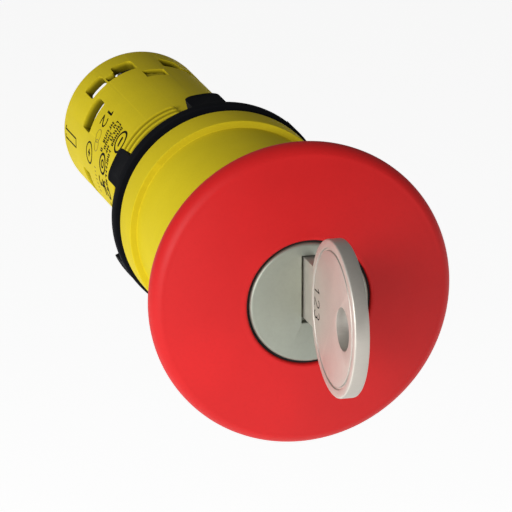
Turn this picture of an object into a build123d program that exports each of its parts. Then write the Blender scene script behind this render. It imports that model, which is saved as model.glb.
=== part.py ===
from build123d import *
import os
from math import asin, cos, degrees, radians, sin

# Panel-mounted emergency stop button with a key-released mushroom head, in millimetres.
# The button axis is Y. The front faces -Y, +Z is up, and +X is to the right as seen from the front.
# The origin is on the axis, in the plane of the panel's front face, where the gasket bears on it.
# Angles round the axis run from +X towards +Z.

# ---- bezel and gasket ----
BEZEL_RADIUS = 14.3
BEZEL_FRONT_RADIUS = 13.35
BEZEL_FRONT_Y = -26.8
BEZEL_STEP_Y = -6.85
BEZEL_REAR_Y = -1.57
BEZEL_BORE = 11.8
BEZEL_FRONT_ROUND = 0.8
BEZEL_EDGE_ROUND = 0.2
GASKET_RADIUS = 13.7
GASKET_BORE = 11.13
GASKET_LIP = 0.5

# ---- mushroom head ----
PRESS_TRAVEL = 4.0
HEAD_RADIUS = 20.0
HEAD_EDGE_Y = -37.6
HEAD_DOME_RADIUS = 50.0
HEAD_HOLE_RADIUS = 8.22
HEAD_HOLE_Y = -42.4
HEAD_HOLE_ROUND = 0.35
HEAD_RIM_ROUND = 2.2
NECK_RADIUS = 11.5
NECK_BORE = 9.2
NECK_FLARE = 1.6
NECK_ROOT_Y = BEZEL_FRONT_Y - PRESS_TRAVEL - 0.4
NECK_END_Y = -12.0
HEAD_SEAL_Y = -21.5
HEAD_SEAL_WIRE = 0.46
SEAL_GROOVE_DEPTH = 0.65
SEAL_GROOVE_HALF = 0.6

# ---- body shell ----
SHELL_RADIUS = 10.28
SHELL_BORE = 9.03
SHELL_REAR_Y = 43.95
SHELL_REAR_ROUND = 0.35
FLANGE_RADIUS = 12.5
FLANGE_POCKET = 12.55
FLANGE_FRONT_Y = -6.0
INSERT_RADIUS = SHELL_BORE - 0.05
SCREW_WINDOW = ((15.7, 41.7), (31.4, 34.9))
MIDDLE_WINDOW = ((36.7, 53.7), (36.1, 40.1))
UPPER_WINDOW = ((54.9, 79.7), (36.2, 38.0))
UPPER_WINDOW_LEG = ((62.7, 79.7), (36.2, 40.2))
LATCH_RECESS = ((82.5, 99.5), (31.4, 34.4))
LATCH_RECESS_DEPTH = 0.75
LATCH_KNUB = ((88.5, 93.5), (32.4, 33.4))

# ---- thread between shell and nut: right-handed, in two sectors ----
PITCH = 1.5
THREAD_TURNS = 9
THREAD_CREST = 10.95
THREAD_END_Y = 15.4
THREAD_HALF_ANGLE = 80.0
THREAD_TILT = degrees(asin(0.28 / 10.7))
RIDGE_BASE = 1.0
RIDGE_TIP = 0.35
RIDGE_ROOT_SINK = 0.2

# ---- fixing nut and its washer ----
NUT_RADIUS = 14.67
NUT_BORE = 11.1
NUT_BAND = 1.6
NUT_DEPTH = 5.9
NUT_EDGE_ROUND = 0.2
NUT_RIDGE_RADIUS = 10.42
NUT_RIDGES = 2
NUT_HALF_ANGLE = 85.0
LOBE_COUNT = 6
LOBE_FIRST_ANGLE = 95.0
LOBE_WIDTH_ANGLE = 15.0
LOBE_INNER_RADIUS = 12.5
LOBE_ROUND = 1.5
WASHER_THICKNESS = 0.6
WASHER_OUTER = 13.3
WASHER_INNER = 11.3
WASHER_FRONT_Y = 0.04
WASHER_NOTCHES = 12

# ---- lock ----
CAP_RADIUS = 7.87
CAP_FRONT_Y = -42.3
CAP_REAR_Y = -40.4
CAP_ROUND = 0.4
PLUG_RADIUS = 6.9
PLUG_TAIL_RADIUS = 6.6
PLUG_REAR_Y = -21.6
CLIP_GROOVE_RADIUS = 6.0
CLIP_GROOVE_Y = (-22.9, -22.2)
SOCKET_HALF = 1.5
SOCKET_FRONT_Y = -24.4
BARREL_RADIUS = 9.1
BARREL_BORE = 6.95
BARREL_FRONT_Y = -40.3
BARREL_LAND_Y = -23.2
BARREL_TAIL_BORE = 8.5
WAFER_COUNT = 5
WAFER_FIRST_Y = -37.4
WAFER_PITCH = 2.8
WAFER_THICKNESS = 1.0
WAFER_HALF_WIDTH = 2.6
WAFER_HALF_HEIGHT = 6.3
WAFER_POCKET = ((1.2, 3.0), (-7.0, -2.8))
WAFER_CUTS = (0.4, 1.1, 0.7, 1.3, 0.5)

# ---- key ----
BLADE_HALF_THICKNESS = 0.74
BLADE_BOTTOM = -2.0
BLADE_TOP = 4.6
BLADE_TIP_Y = -24.7
BLADE_TIP_CHAMFER = 1.2
BLADE_GROOVE_Z = (0.4, 1.6)
BLADE_GROOVE_X = 0.3
ROOT_TOP = 6.1
ROOT_REAR_Y = CAP_FRONT_Y + 1.0
MOUTH_DEPTH = 1.2
BOW_RADIUS = 10.1
BOW_CENTRE_Y = -56.2
BOW_CENTRE_Z = 2.1
BOW_THICKNESS = 2.0
BOW_ROUND = 0.25
BOW_GROOVE = (8.6, 9.0)
BOW_GROOVE_DEPTH = 0.25
RING_HOLE_RADIUS = 2.8
RING_HOLE_Y = -60.8

# ---- stem, latch and release cam ----
STEM_RADIUS = 5.0
STEM_BORE = 2.3
STEM_FLANGE_Y = (-20.5, -17.5)
STEM_NOSE_RADIUS = 3.6
STEM_NOSE_Y = (9.5, 10.4)
STEM_END_Y = 12.15
STEM_BORE_END_Y = 2.9
STEM_PIN_RADIUS = 0.75
STEM_PIN_Y = -19.0
COLLAR_RADIUS = 6.0
COLLAR_FRONT_Y = 0.9
COLLAR_LAND = 0.9
COLLAR_REAR_Y = 3.3
LATCH_Y = 4.0
LATCH_WIRE = 0.5
LATCH_LEG_X = 5.6
LATCH_LEG_Z = (-2.0, 6.0)
LATCH_POCKET_HALF = 0.7
LATCH_POCKET_RADIUS = 8.45
BUSHING_FRONT_Y = -5.6
BUSHING_STEP_Y = -1.6
GUIDE_REAR_Y = 11.4
GUIDE_LAND_Y = (8.2, 10.0)
GUIDE_REAR_BORE = 8.0
SHAFT_RADIUS = 2.2
SHAFT_END_Y = 2.4
SHAFT_SQUARE_HALF = 1.42
CAM_HALF_LENGTH = 6.15
CAM_HALF_WIDTH = 1.0
CAM_FRONT_Y = -0.9
CAM_REAR_Y = 0.8
CAM_REST_ANGLE = 45.0
CAM_SLACK = 0.2
CAM_REACH = 8.0

# ---- contact block ----
BLOCK_FRONT_Y = 19.5
BLOCK_PLATE_Y = 21.5
BLOCK_REAR_Y = 42.6
SLAB_HALF_X = 3.0
SLAB_HALF_Z = 8.3
FIN_HALF_X = 7.4
FIN_HALF_Z = 0.7
FIN_FRONT_Y = 35.4
CORE_HALF_X = 2.0
CORE_HALF_Z = 2.2
CORE_REAR_Y = 31.0
CORE_SLACK = 0.15
SEAT_RADIUS = 5.2
SEAT_REAR_Y = 13.2
ARM_OUTER_X = 6.2
ARM_HALF_Z = 2.0
ARM_WINDOW = (3.2, 5.5)
ARM_FRONT_Y = 22.9
ARM_WINDOW_Y = (23.6, 29.4)
ARM_REAR_Y = 30.2
BRIDGE_X = (3.3, 5.2)
BRIDGE_Y = (24.62, 25.42)
BRIDGE_HALF_Z = 6.0
CONTACT_Z = 5.1
CONTACT_FACE_Y = 24.2
CONTACT_RADIUS = 0.7
CONTACT_GAP = 0.02
TONGUE_X = (3.0, 5.2)
TONGUE_Y = (22.8, 23.6)
TONGUE_Z = (4.2, 6.9)
RUN_Z = (6.2, 6.9)
RUN_REAR_Y = 30.6
PLATE_X = (3.0, 3.7)
PLATE_Y = (29.9, 36.8)
PLATE_Z = (2.6, 6.9)
TERMINAL_Y = 33.2
TERMINAL_Z = 4.4
CLAMP_X = (3.72, 4.12)
CLAMP_HALF_Y = 1.7
CLAMP_HALF_Z = 1.6
SCREW_RADIUS = 1.25
SCREW_HEAD_RADIUS = 1.6
SCREW_HEAD_X = (4.14, 5.3)
SCREW_TIP_X = 0.8
SCREW_SLOT_X = 4.7
SCREW_SLOT_HALF = 0.3
SCREW_HEAD_ROUND = 0.25

# ---- springs: coil radius, wire radius, turns ----
RETURN_COIL = (4.1, 0.35, 3)
CONTACT_COIL = (0.75, 0.14, 4)
WAFER_COIL = (0.36, 0.09, 5)
SPRING_GAP = 0.04

# a tool that cuts right through a wall starts and ends this far outside it
OVERSHOOT = 1.0
RUNNING_GAP = 0.08


# ---- shapes that repeat ----

def turned(*points):
    """Solid turned about the button axis from (radius, y) points."""
    return revolve(make_face(Polyline(*points, close=True)), Axis.Y)


def ring(outer, inner, front, rear):
    """Plain ring about the button axis."""
    return turned((inner, front), (outer, front), (outer, rear), (inner, rear))


def disc(radius, front, rear):
    """Plain disc about the button axis."""
    return turned((0, front), (radius, front), (radius, rear), (0, rear))


def block(x, y, z):
    """Box from its (low, high) limits along each axis."""
    size = (x[1] - x[0], y[1] - y[0], z[1] - z[0])
    middle = ((x[0] + x[1]) / 2, (y[0] + y[1]) / 2, (z[0] + z[1]) / 2)
    return Pos(*middle) * Box(*size)


def on_side(side, limits):
    """Limits on the +X or +Z side, or the same ones mirrored to the other side."""
    return sorted(side * limit for limit in limits)


def rod(radius, start, end):
    """Round rod between two points."""
    way = Vector(*end) - Vector(*start)
    base = Plane(origin=start, z_dir=way)
    return base * Cylinder(radius, way.length, align=(Align.CENTER, Align.CENTER, Align.MIN))


def coil(form, front, rear, centre=(0, 0)):
    """Compression spring of round wire about a line parallel to Y."""
    radius, wire, turns = form
    height = rear - front - 2 * wire
    path = Helix(height / turns, height, radius, center=(0, 0, 0), direction=(0, 0, 1))
    section = Plane(origin=path @ 0, z_dir=path % 0) * Circle(wire)
    spring = sweep(section, path=path, is_frenet=True)
    return Pos(centre[0], front + wire, centre[1]) * (Rot(-90, 0, 0) * spring)


def edges_at(shape, radius, y, slack=0.02):
    """Circular edges of a turned shape at one radius and one y."""
    return [
        e for e in shape.edges().filter_by(GeomType.CIRCLE)
        if abs(e.radius - radius) < slack and abs(e.arc_center.Y - y) < slack
    ]


# ---- mushroom head and what moves with it ----

def dome_y(radius):
    """Front surface of the head at a radius."""
    return HEAD_HOLE_Y + (radius ** 2 - HEAD_HOLE_RADIUS ** 2) / (2 * HEAD_DOME_RADIUS)


def mushroom_head():
    """Domed cap with a rounded rim, a conical underside and a tubular neck."""
    rim_start = HEAD_RADIUS - 0.658 * HEAD_RIM_ROUND
    middle = (HEAD_HOLE_RADIUS + rim_start) / 2
    rim_knee = (HEAD_RADIUS - 0.293 * HEAD_RIM_ROUND, HEAD_EDGE_Y - 0.72 * HEAD_RIM_ROUND)
    under_edge = (HEAD_RADIUS - 1.2, HEAD_EDGE_Y + 2.3)
    under_middle = (HEAD_RADIUS - 0.3, HEAD_EDGE_Y + 1.3)
    front = ThreePointArc(
        (HEAD_HOLE_RADIUS, HEAD_HOLE_Y), (middle, dome_y(middle)), (rim_start, dome_y(rim_start))
    )
    rim = ThreePointArc(front @ 1, rim_knee, (HEAD_RADIUS, HEAD_EDGE_Y))
    tuck = ThreePointArc(rim @ 1, under_middle, under_edge)
    rest = Polyline(
        tuck @ 1,
        (NECK_RADIUS + NECK_FLARE, NECK_ROOT_Y - 1.1),
        (NECK_RADIUS, NECK_ROOT_Y),
        (NECK_RADIUS, NECK_END_Y),
        (NECK_BORE, NECK_END_Y),
        (NECK_BORE, BARREL_FRONT_Y),
        (HEAD_HOLE_RADIUS, BARREL_FRONT_Y),
        (HEAD_HOLE_RADIUS, HEAD_HOLE_Y),
    )
    head = revolve(make_face([front, rim, tuck, rest]), Axis.Y)
    head = fillet(edges_at(head, HEAD_HOLE_RADIUS, HEAD_HOLE_Y), HEAD_HOLE_ROUND)
    head -= ring(
        NECK_RADIUS + OVERSHOOT, NECK_RADIUS - SEAL_GROOVE_DEPTH,
        HEAD_SEAL_Y - SEAL_GROOVE_HALF, HEAD_SEAL_Y + SEAL_GROOVE_HALF,
    )
    return head - stem_pins(0.05)


def head_seal():
    """O-ring in the neck's groove, which seals against the bezel's bore."""
    return Pos(0, HEAD_SEAL_Y, 0) * (Rot(90, 0, 0) * Torus(NECK_RADIUS - 0.18, HEAD_SEAL_WIRE))


def stem_pins(slack):
    """Two radial pins through the neck and the stem's flange, or the holes for them."""
    return [
        rod(
            STEM_PIN_RADIUS + slack,
            (side * (BARREL_RADIUS - 2.1), STEM_PIN_Y, 0),
            (side * (NECK_RADIUS - 0.2), STEM_PIN_Y, 0),
        )
        for side in (-1, 1)
    ]


def lock_seal_ring():
    """Rubber ring that fills the gap between the head and the turning lock face."""
    return ring(HEAD_HOLE_RADIUS, CAP_RADIUS + 0.05, HEAD_HOLE_Y + 0.75, CAP_REAR_Y)


def wafer_places():
    """Each wafer's middle along the lock, with the depth of the key's cut there."""
    return [(WAFER_FIRST_Y + n * WAFER_PITCH, cut) for n, cut in enumerate(WAFER_CUTS)]


def lock_barrel():
    """Fixed sleeve of the lock, with the two channels that the wafers drop into."""
    barrel = turned(
        (BARREL_BORE, BARREL_FRONT_Y), (BARREL_RADIUS, BARREL_FRONT_Y),
        (BARREL_RADIUS, STEM_FLANGE_Y[0]), (BARREL_TAIL_BORE, STEM_FLANGE_Y[0]),
        (BARREL_TAIL_BORE, BARREL_LAND_Y), (BARREL_BORE, BARREL_LAND_Y),
    )
    channel_x = (-WAFER_HALF_WIDTH - 0.3, WAFER_HALF_WIDTH + 0.3)
    channel_rear = WAFER_FIRST_Y + WAFER_PITCH * (WAFER_COUNT - 1) + WAFER_THICKNESS
    channel_y = (WAFER_FIRST_Y - WAFER_THICKNESS, channel_rear)
    for side in (-1, 1):
        barrel -= block(channel_x, channel_y, on_side(side, (5.0, 8.2)))
    return barrel


def lock_plug():
    """Turning core: face cap, wafer slots, stepped keyway and a square drive socket at the rear."""
    plug = turned(
        (0, CAP_FRONT_Y), (CAP_RADIUS, CAP_FRONT_Y), (CAP_RADIUS, CAP_REAR_Y),
        (PLUG_RADIUS, CAP_REAR_Y), (PLUG_RADIUS, CLIP_GROOVE_Y[0]),
        (CLIP_GROOVE_RADIUS, CLIP_GROOVE_Y[0]), (CLIP_GROOVE_RADIUS, CLIP_GROOVE_Y[1]),
        (PLUG_TAIL_RADIUS, CLIP_GROOVE_Y[1]), (PLUG_TAIL_RADIUS, PLUG_REAR_Y), (0, PLUG_REAR_Y),
    )
    plug = fillet(edges_at(plug, CAP_RADIUS, CAP_FRONT_Y), CAP_ROUND)
    keyway_z = (BLADE_BOTTOM - 0.2, BLADE_TOP + 0.2)
    plug -= block((-0.85, 0.85), (CAP_FRONT_Y - OVERSHOOT, BLADE_TIP_Y + 0.2), keyway_z)
    mouth_z = (BLADE_BOTTOM - 0.7, ROOT_TOP + 0.2)
    plug -= block((-1.05, 1.05), (CAP_FRONT_Y - OVERSHOOT, CAP_FRONT_Y + MOUTH_DEPTH), mouth_z)
    slot_x = (-WAFER_HALF_WIDTH - 0.1, WAFER_HALF_WIDTH + 0.1)
    slot_half = WAFER_THICKNESS / 2 + RUNNING_GAP
    for place, _ in wafer_places():
        plug -= block(slot_x, (place - slot_half, place + slot_half), (-CAM_REACH, CAM_REACH))
    socket = (-SOCKET_HALF, SOCKET_HALF)
    return plug - block(socket, (SOCKET_FRONT_Y, PLUG_REAR_Y + OVERSHOOT), socket)


def wafer(place):
    """Sliding plate with a window for the blade and a side pocket for its spring."""
    through = (place - WAFER_THICKNESS, place + WAFER_THICKNESS)
    plate = block(
        (-WAFER_HALF_WIDTH, WAFER_HALF_WIDTH),
        (place - WAFER_THICKNESS / 2, place + WAFER_THICKNESS / 2),
        (-WAFER_HALF_HEIGHT, WAFER_HALF_HEIGHT),
    )
    plate -= block((-0.95, 0.95), through, (BLADE_BOTTOM - 0.3, BLADE_TOP + 0.12))
    return plate - block(WAFER_POCKET[0], through, WAFER_POCKET[1])


def wafer_springs():
    """One small spring in the side pocket of each wafer."""
    springs = []
    for place, _ in wafer_places():
        spring = coil(WAFER_COIL, -6.2, WAFER_POCKET[1][1] - 0.05)
        springs.append(Pos(1.95, place, 0) * (Rot(90, 0, 0) * spring))
    return springs


def plug_clip():
    """Open retaining ring in the groove at the rear of the plug."""
    clip = ring(8.1, CLIP_GROOVE_RADIUS + 0.05, CLIP_GROOVE_Y[0] + 0.1, CLIP_GROOVE_Y[1] - 0.1)
    return clip - block((-3.2, 3.2), (CLIP_GROOVE_Y[0] - 1, CLIP_GROOVE_Y[1] + 1), (0, 9))


def release_shaft():
    """Shaft inside the stem, from the plug's square socket to the release cam."""
    square = (-SHAFT_SQUARE_HALF, SHAFT_SQUARE_HALF)
    shaft = rod(SHAFT_RADIUS, (0, PLUG_REAR_Y + 0.1, 0), (0, SHAFT_END_Y, 0))
    shaft += block(square, (SOCKET_FRONT_Y + 0.2, PLUG_REAR_Y + 0.2), square)
    return shaft - release_cam()


def release_cam():
    """Flat bar across the shaft, at the angle it has when the key isn't turned."""
    bar = block(
        (-CAM_HALF_LENGTH, CAM_HALF_LENGTH), (CAM_FRONT_Y, CAM_REAR_Y), (-CAM_HALF_WIDTH, CAM_HALF_WIDTH)
    )
    return Rot(0, -CAM_REST_ANGLE, 0) * bar


def cam_window():
    """Space in the stem that the cam bar sweeps as the key turns."""
    width = CAM_HALF_WIDTH + CAM_SLACK
    across, up = cos(radians(CAM_REST_ANGLE)), sin(radians(CAM_REST_ANGLE))
    side = (-up * width, across * width)
    tip = (across * CAM_REACH, up * CAM_REACH)
    outline = [
        (0, -width), (CAM_REACH, -width), (CAM_REACH, tip[1]),
        (tip[0] + side[0], tip[1] + side[1]), side, (0, 0),
    ]
    rear = CAM_REAR_Y + CAM_SLACK - 0.05
    depth = rear - CAM_FRONT_Y + CAM_SLACK - 0.05
    # the sketch's x and y become X and Z, and the prism runs towards the front
    plane = Plane(origin=(0, rear, 0), x_dir=(1, 0, 0), z_dir=(0, -1, 0))
    wedge = extrude(plane * make_face(Polyline(*outline, close=True)), depth)
    return [wedge, Rot(0, 180, 0) * wedge]


def push_stem():
    """Hollow stem with its fixing flange, the latch collar and a solid pushing end."""
    stem = turned(
        (STEM_BORE, STEM_FLANGE_Y[0]), (BARREL_RADIUS, STEM_FLANGE_Y[0]),
        (BARREL_RADIUS, STEM_FLANGE_Y[1]), (STEM_RADIUS, STEM_FLANGE_Y[1]),
        (STEM_RADIUS, COLLAR_FRONT_Y), (COLLAR_RADIUS, COLLAR_FRONT_Y),
        (COLLAR_RADIUS, COLLAR_FRONT_Y + COLLAR_LAND), (STEM_RADIUS, COLLAR_REAR_Y),
        (STEM_RADIUS, STEM_NOSE_Y[0]), (STEM_NOSE_RADIUS, STEM_NOSE_Y[1]),
        (STEM_NOSE_RADIUS, STEM_END_Y), (0, STEM_END_Y), (0, STEM_BORE_END_Y),
        (STEM_BORE, STEM_BORE_END_Y),
    )
    return stem - cam_window() - stem_pins(0.0)


# ---- key ----

def key_cuts():
    """Notches in the top edge of the blade, one at each wafer."""
    half = WAFER_THICKNESS * 0.75
    cuts = []
    for place, cut in wafer_places():
        outline = Polyline(
            (place - half, BLADE_TOP - cut), (place + half, BLADE_TOP - cut),
            (place + half + cut, BLADE_TOP + 0.01), (place - half - cut, BLADE_TOP + 0.01),
            close=True,
        )
        cuts.append(extrude(Plane.YZ * make_face(outline), 2, both=True))
    return cuts


def bow_rod(radius, start, end):
    """Rod across the bow's middle, between two places along X."""
    return rod(radius, (start, BOW_CENTRE_Y, BOW_CENTRE_Z), (end, BOW_CENTRE_Y, BOW_CENTRE_Z))


def key():
    """Flat key: round bow with a raised rim and a ring hole, a root and a notched blade."""
    half = BOW_THICKNESS / 2
    bow = bow_rod(BOW_RADIUS, -half, half)
    bow = fillet(bow.edges().filter_by(GeomType.CIRCLE), BOW_ROUND)
    for side in (-1, 1):
        floor, outside = side * (half - BOW_GROOVE_DEPTH), side * (half + OVERSHOOT)
        inner, outer = BOW_GROOVE
        bow -= bow_rod(outer, floor, outside) - bow_rod(inner, floor, outside)
    thickness = (-BLADE_HALF_THICKNESS, BLADE_HALF_THICKNESS)
    root = block(thickness, (BOW_CENTRE_Y + 8.0, ROOT_REAR_Y), (BLADE_BOTTOM, ROOT_TOP))
    blade = block(thickness, (ROOT_REAR_Y - 1, BLADE_TIP_Y), (BLADE_BOTTOM, BLADE_TOP))
    blade = chamfer(blade.edges().filter_by(Axis.X).sort_by(Axis.Y)[-2:], BLADE_TIP_CHAMFER)
    blade -= key_cuts()
    body = bow + root + blade
    body -= block((BLADE_GROOVE_X, 2), (CAP_FRONT_Y - 4, BLADE_TIP_Y + 1), BLADE_GROOVE_Z)
    return body - rod(
        RING_HOLE_RADIUS, (-3, RING_HOLE_Y, BOW_CENTRE_Z), (3, RING_HOLE_Y, BOW_CENTRE_Z)
    )


# ---- bezel, gasket and fixed guides ----

def bezel_collar():
    """Stepped collar around the neck, which clamps the gasket on the panel's front."""
    collar = turned(
        (BEZEL_BORE, BEZEL_FRONT_Y), (BEZEL_FRONT_RADIUS, BEZEL_FRONT_Y),
        (BEZEL_FRONT_RADIUS, BEZEL_STEP_Y), (BEZEL_RADIUS, BEZEL_STEP_Y),
        (BEZEL_RADIUS, BEZEL_REAR_Y), (FLANGE_POCKET, BEZEL_REAR_Y),
        (FLANGE_POCKET, FLANGE_FRONT_Y), (BEZEL_BORE, FLANGE_FRONT_Y),
    )
    collar = fillet(edges_at(collar, BEZEL_FRONT_RADIUS, BEZEL_FRONT_Y), BEZEL_FRONT_ROUND)
    for y in (BEZEL_STEP_Y, BEZEL_REAR_Y):
        collar = fillet(edges_at(collar, BEZEL_RADIUS, y), BEZEL_EDGE_ROUND)
    return collar


def panel_gasket():
    """Flat rubber gasket with a sealing lip, between the bezel and the panel."""
    return turned(
        (GASKET_BORE, BEZEL_REAR_Y), (GASKET_RADIUS - 0.2, BEZEL_REAR_Y),
        (GASKET_RADIUS, BEZEL_REAR_Y + GASKET_LIP), (GASKET_RADIUS, -0.3),
        (GASKET_RADIUS - 0.3, 0), (GASKET_BORE, 0),
    )


def front_bushing():
    """Guide ring for the stem, with the room that the latch collar needs at rest."""
    guide = STEM_RADIUS + RUNNING_GAP
    room = COLLAR_RADIUS + 0.3
    rear = LATCH_Y - LATCH_POCKET_HALF
    return turned(
        (guide, BUSHING_FRONT_Y), (INSERT_RADIUS, BUSHING_FRONT_Y), (INSERT_RADIUS, rear),
        (room, rear), (room, BUSHING_STEP_Y), (guide, BUSHING_STEP_Y),
    )


def latch_housing():
    """Rear guide ring that holds the latch spring against the front bushing."""
    guide = STEM_RADIUS + RUNNING_GAP
    room = COLLAR_RADIUS + 0.3
    front, pocket_rear = LATCH_Y - LATCH_POCKET_HALF, LATCH_Y + LATCH_POCKET_HALF
    return turned(
        (LATCH_POCKET_RADIUS, front), (INSERT_RADIUS, front), (INSERT_RADIUS, GUIDE_REAR_Y),
        (GUIDE_REAR_BORE, GUIDE_REAR_Y), (GUIDE_REAR_BORE, GUIDE_LAND_Y[1]),
        (guide, GUIDE_LAND_Y[1]), (guide, GUIDE_LAND_Y[0]), (room, GUIDE_LAND_Y[0]),
        (room, pocket_rear), (LATCH_POCKET_RADIUS, pocket_rear),
    )


def latch_spring():
    """Hairpin spring whose two legs snap in front of the stem's collar."""
    bend, top = LATCH_LEG_Z
    right = Line((LATCH_LEG_X, LATCH_Y, top), (LATCH_LEG_X, LATCH_Y, bend))
    bow = ThreePointArc(
        (LATCH_LEG_X, LATCH_Y, bend), (0, LATCH_Y, bend - LATCH_LEG_X), (-LATCH_LEG_X, LATCH_Y, bend)
    )
    left = Line((-LATCH_LEG_X, LATCH_Y, bend), (-LATCH_LEG_X, LATCH_Y, top))
    section = Plane(origin=right @ 0, z_dir=right % 0) * Circle(LATCH_WIRE)
    return sweep(section, path=Wire([right, bow, left]))


# ---- threaded shell, nut and washer ----

def thread_ridges(base_radius, tip_radius, half_angle, places):
    """Ridges of a thread of one start, each an arc of a ring tilted to follow the helix."""
    low, high = RIDGE_BASE / 2, RIDGE_TIP / 2
    outline = Polyline(
        (base_radius, -low), (tip_radius, -high), (tip_radius, high), (base_radius, low), close=True
    )
    arc = revolve(make_face(outline), Axis.Y, revolution_arc=2 * half_angle)
    tilted = Rot(THREAD_TILT, 0, 0) * (Rot(0, -half_angle, 0) * arc)
    ridges = []
    for place in places:
        ridges.append(Pos(0, place, 0) * tilted)
        ridges.append(Pos(0, place + PITCH / 2, 0) * (Rot(0, 180, 0) * tilted))
    return ridges


def ridge_places(turns, shift=0.0):
    """Places of a thread's ridges, counted back from the thread's last turn on the shell."""
    first = THREAD_END_Y - THREAD_TURNS * PITCH + shift
    return [first + n * PITCH for n in range(turns)]


def radial_window(angles, y, depth=(7.0, 12.0), corner=0.5):
    """Prism along a radius that cuts a rounded window between two angles in degrees."""
    middle = (angles[0] + angles[1]) / 2
    width = 2 * SHELL_RADIUS * sin(radians((angles[1] - angles[0]) / 2))
    out = (cos(radians(middle)), 0, sin(radians(middle)))
    origin = (out[0] * depth[0], (y[0] + y[1]) / 2, out[2] * depth[0])
    plane = Plane(origin=origin, x_dir=(0, 1, 0), z_dir=out)
    return extrude(plane * RectangleRounded(y[1] - y[0], width, corner), depth[1] - depth[0])


def in_all_quadrants(angles):
    """The same angles in all four quadrants."""
    low, high = angles
    return [(low, high), (180 - high, 180 - low), (180 + low, 180 + high), (360 - high, 360 - low)]


def shell_windows():
    """Openings round the terminals: screw access, and ventilation near the rear."""
    kinds = ((SCREW_WINDOW, 0.5), (MIDDLE_WINDOW, 0.5), (UPPER_WINDOW, 0.3), (UPPER_WINDOW_LEG, 0.7))
    windows = []
    for (angles, y), corner in kinds:
        windows += [radial_window(span, y, corner=corner) for span in in_all_quadrants(angles)]
    return windows


def latch_recess(turn):
    """Shallow recess with a small knub in it, above a snap of the contact block."""
    depth = (SHELL_RADIUS - LATCH_RECESS_DEPTH, SHELL_RADIUS + OVERSHOOT)
    recess = radial_window(*LATCH_RECESS, depth=depth, corner=0.15)
    knub = radial_window(*LATCH_KNUB, corner=0.1)
    return Rot(0, turn, 0) * (recess - knub)


def body_shell():
    """Threaded tube with a front flange, terminal windows and an open rear end."""
    shell = turned(
        (SHELL_BORE, FLANGE_FRONT_Y), (FLANGE_RADIUS, FLANGE_FRONT_Y),
        (FLANGE_RADIUS, BEZEL_REAR_Y), (SHELL_RADIUS, BEZEL_REAR_Y),
        (SHELL_RADIUS, SHELL_REAR_Y), (SHELL_BORE, SHELL_REAR_Y),
    )
    shell = fillet(edges_at(shell, SHELL_RADIUS, SHELL_REAR_Y), SHELL_REAR_ROUND)
    shell = shell - shell_windows() - [latch_recess(0), latch_recess(180)]
    return shell + thread_ridges(
        SHELL_RADIUS - RIDGE_ROOT_SINK, THREAD_CREST, THREAD_HALF_ANGLE, ridge_places(THREAD_TURNS)
    )


def lobe_gap(middle):
    """Ring sector between two of the nut's grip lobes."""
    gap_angle = 360 / LOBE_COUNT - LOBE_WIDTH_ANGLE
    outer, rear = NUT_RADIUS + OVERSHOOT, NUT_DEPTH + OVERSHOOT
    outline = Polyline(
        (LOBE_INNER_RADIUS, NUT_BAND), (outer, NUT_BAND), (outer, rear), (LOBE_INNER_RADIUS, rear),
        close=True,
    )
    gap = revolve(make_face(outline), Axis.Y, revolution_arc=gap_angle)
    return Rot(0, -middle - gap_angle / 2, 0) * gap


def lobe_corners(nut):
    """Radial edges at the rear of the grip lobes."""
    return [
        e for e in nut.edges().filter_by(GeomType.LINE)
        if abs((e @ 0).Y - NUT_DEPTH) < 0.01 and abs((e @ 1).Y - NUT_DEPTH) < 0.01
    ]


def fixing_nut():
    """Nut with a plain band, six grip lobes with rounded corners and a recess for its washer."""
    nut = ring(NUT_RADIUS, NUT_BORE, 0, NUT_DEPTH)
    nut = fillet(edges_at(nut, NUT_RADIUS, 0), NUT_EDGE_ROUND)
    for n in range(LOBE_COUNT):
        nut -= lobe_gap(LOBE_FIRST_ANGLE + (n + 0.5) * 360 / LOBE_COUNT)
    nut = fillet(lobe_corners(nut), LOBE_ROUND)
    nut -= ring(WASHER_OUTER + 0.1, NUT_BORE - OVERSHOOT, -OVERSHOOT, WASHER_THICKNESS + 0.1)
    return nut + thread_ridges(
        NUT_BORE + RIDGE_ROOT_SINK, NUT_RIDGE_RADIUS, NUT_HALF_ANGLE,
        ridge_places(NUT_RIDGES, -PITCH / 2),
    )


def lock_washer():
    """Toothed washer in the nut's front recess, which slides with the nut but doesn't turn."""
    washer = ring(WASHER_OUTER, WASHER_INNER, WASHER_FRONT_Y, WASHER_THICKNESS)
    notch = block((WASHER_OUTER - 0.6, WASHER_OUTER + 1), (-1, 2), (-0.45, 0.45))
    for n in range(WASHER_NOTCHES):
        washer -= Rot(0, n * 360 / WASHER_NOTCHES, 0) * notch
    return washer


# ---- contact block ----

def terminal_rod(radius, side, level, x):
    """Rod along X through a terminal's middle, between two distances from the button axis."""
    z = level * TERMINAL_Z
    return rod(radius, (side * x[0], TERMINAL_Y, z), (side * x[1], TERMINAL_Y, z))


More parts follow.
